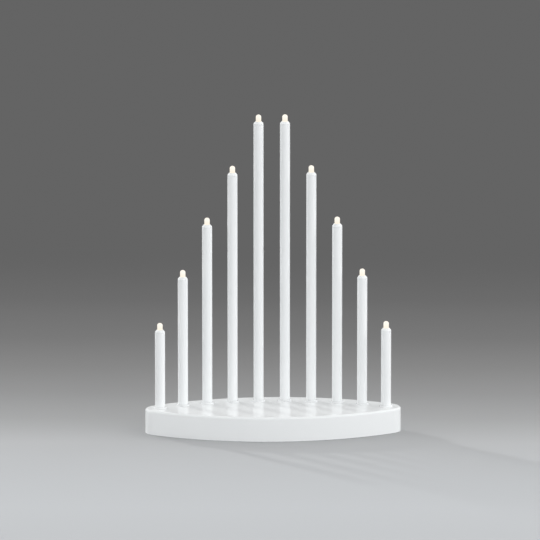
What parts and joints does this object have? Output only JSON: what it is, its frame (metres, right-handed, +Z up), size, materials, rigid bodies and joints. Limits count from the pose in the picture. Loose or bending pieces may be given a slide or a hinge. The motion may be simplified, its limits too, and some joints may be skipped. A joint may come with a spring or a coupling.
{
  "type": "candle arch",
  "caption": "Battery candle arch: slim white tubes with warm LED tips stand in a curved, rising row on a low lens-shaped gloss base.",
  "frame": {"origin": "middle of the base in plan, on the surface that the feet stand on", "axes": "+X right along the base, +Y to the back, where the row of candles bows, +Z up"},
  "size_m": [0.24, 0.096, 0.2971],
  "materials": {
    "gloss_white": "gloss",
    "matte_white": "satin",
    "led_glow": "gloss",
    "cell_sleeve": "satin",
    "contact_steel": "satin",
    "board_green": "satin",
    "board_white": "satin",
    "black_plastic": "matte",
    "capacitor_sleeve": "satin",
    "switch_grey": "satin",
    "terminal_white": "satin",
    "wire_red": "satin",
    "wire_white": "satin",
    "foot_rubber": "matte"
  },
  "bodies": {
    "arch": {"base_plate": "matte_white", "base_shell": "gloss_white", "battery_cells": "cell_sleeve", "battery_wires": "wire_red", "candle_tube_01": "gloss_white", "candle_tube_02": "gloss_white", "candle_tube_03": "gloss_white", "candle_tube_04": "gloss_white", "candle_tube_05": "gloss_white", "candle_tube_06": "gloss_white", "candle_tube_07": "gloss_white", "candle_tube_08": "gloss_white", "candle_tube_09": "gloss_white", "candle_tube_10": "gloss_white", "capacitor": "capacitor_sleeve", "contact_bridge_left": "contact_steel", "contact_bridge_right": "contact_steel", "contact_negative": "contact_steel", "contact_positive": "contact_steel", "contact_springs": "contact_steel", "feed_wires": "wire_white", "led_01": "led_glow", "led_02": "led_glow", "led_03": "led_glow", "led_04": "led_glow", "led_05": "led_glow", "led_06": "led_glow", "led_07": "led_glow", "led_08": "led_glow", "led_09": "led_glow", "led_10": "led_glow", "resistors": "black_plastic", "row_board": "board_white", "rubber_feet": "foot_rubber", "switch_casing": "black_plastic", "timer_board": "board_green", "timer_chip": "black_plastic", "wire_terminal": "terminal_white"},
    "battery_door": {"battery_door": "matte_white"},
    "switch_slider": {"switch_slider": "switch_grey"}
  },
  "joints": [
    {"name": "battery_door_hinge", "type": "hinge", "parent": "arch", "child": "battery_door", "pos_m": [0, 0.01465, 0.0026], "axis": [1, 0, 0], "range_deg": [0, 90]},
    {"name": "switch_slide", "type": "slide", "parent": "arch", "child": "switch_slider", "axis": [1, 0, 0], "range_m": [0, 0.004]}
  ]
}
